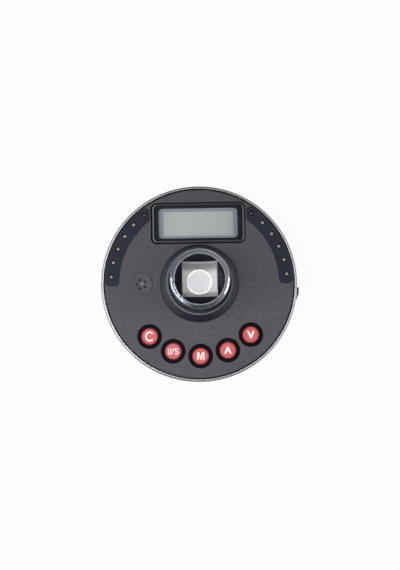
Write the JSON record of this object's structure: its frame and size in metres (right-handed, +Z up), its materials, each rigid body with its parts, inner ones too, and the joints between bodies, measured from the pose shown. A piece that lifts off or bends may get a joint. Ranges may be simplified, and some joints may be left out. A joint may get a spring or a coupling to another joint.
{
  "type": "torque angle gauge",
  "caption": "Round digital angle gauge on a square drive: display, progress lights and keys around a chrome socket boss, male drive behind, battery tray in the side.",
  "frame": {"origin": "centre of the flat end of the male square drive, on the drive axis", "axes": "+Z up the drive axis toward the socket boss, +Y from the axis toward the display, +X to the right of someone who reads the display"},
  "size_m": [0.077, 0.075, 0.058],
  "materials": {
    "face_plastic": "fine spark-eroded texture, dark grey",
    "rim_metal": "satin",
    "rear_plastic": "fine texture, black",
    "seal_rubber": "matt",
    "drive_steel": "polished chrome plating",
    "clip_steel": "black oxide",
    "ball_steel": "polished",
    "bezel_plastic": "gloss black",
    "lens_clear": "clear",
    "mask_black": "printed black",
    "frame_grey": "grey-blue",
    "picture_glass": "grey-green liquid crystal, switched off",
    "guide_white": "translucent white",
    "connector_rubber": "pink silicone",
    "window_smoke": "smoked, gloss",
    "led_clear": "water clear epoxy",
    "led_red": "red epoxy",
    "key_ring_black": "gloss black",
    "key_red": "red, satin",
    "dome_rubber": "grey silicone",
    "board_green": "solder mask green",
    "chip_black": "moulded",
    "sounder_black": "moulded",
    "tray_plastic": "fine texture, black",
    "cell_steel": "nickel plated",
    "contact_brass": "bright",
    "screw_steel": "black zinc"
  },
  "bodies": {
    "housing": {"front_cover": "face_plastic", "rim_ring": "rim_metal", "rear_cover": "rear_plastic", "case_seal": "seal_rubber", "drive_shaft": "drive_steel", "retaining_ring": "clip_steel", "collar_seal": "seal_rubber", "detent_spring": "ball_steel", "display_bezel": "bezel_plastic", "display_lens": "lens_clear", "lens_mask": "mask_black", "lcd_frame": "frame_grey", "lcd_glass": "picture_glass", "lcd_light_guide": "guide_white", "lcd_connectors": "connector_rubber", "led_window_left": "window_smoke", "led_window_right": "window_smoke", "guide_leds": "led_clear", "target_leds": "led_red", "key_rings": "key_ring_black", "clear_dome": "dome_rubber", "unit_dome": "dome_rubber", "mode_dome": "dome_rubber", "up_dome": "dome_rubber", "down_dome": "dome_rubber", "main_board": "board_green", "processor_chip": "chip_black", "gyro_chip": "chip_black", "sounder": "sounder_black", "cell_top_contact": "contact_brass", "cell_side_contact": "contact_brass", "case_screws": "screw_steel"},
    "clear_button": {"clear_key": "key_red"},
    "unit_button": {"unit_key": "key_red"},
    "mode_button": {"mode_key": "key_red"},
    "up_button": {"up_key": "key_red"},
    "down_button": {"down_key": "key_red"},
    "tray": {"battery_tray": "tray_plastic", "coin_cell": "cell_steel"},
    "detent": {"detent_ball": "ball_steel"}
  },
  "joints": [
    {"name": "clear_press", "type": "slide", "parent": "housing", "child": "clear_button", "axis": [0, 0, -1], "range_m": [0, 0.0008], "stiffness_N_per_m": 1500, "springref_m": -0.0002, "deforming": ["clear_dome"]},
    {"name": "unit_press", "type": "slide", "parent": "housing", "child": "unit_button", "axis": [0, 0, -1], "range_m": [0, 0.0008], "stiffness_N_per_m": 1500, "springref_m": -0.0002, "deforming": ["unit_dome"]},
    {"name": "mode_press", "type": "slide", "parent": "housing", "child": "mode_button", "axis": [0, 0, -1], "range_m": [0, 0.0008], "stiffness_N_per_m": 1500, "springref_m": -0.0002, "deforming": ["mode_dome"]},
    {"name": "up_press", "type": "slide", "parent": "housing", "child": "up_button", "axis": [0, 0, -1], "range_m": [0, 0.0008], "stiffness_N_per_m": 1500, "springref_m": -0.0002, "deforming": ["up_dome"]},
    {"name": "down_press", "type": "slide", "parent": "housing", "child": "down_button", "axis": [0, 0, -1], "range_m": [0, 0.0008], "stiffness_N_per_m": 1500, "springref_m": -0.0002, "deforming": ["down_dome"]},
    {"name": "tray_slide", "type": "slide", "parent": "housing", "child": "tray", "axis": [0.9954, -0.0958, 0], "range_m": [0, 0.024]},
    {"name": "detent_press", "type": "slide", "parent": "housing", "child": "detent", "axis": [0, 1, 0], "range_m": [0, 0.0009], "stiffness_N_per_m": 3000, "springref_m": -0.0003}
  ]
}
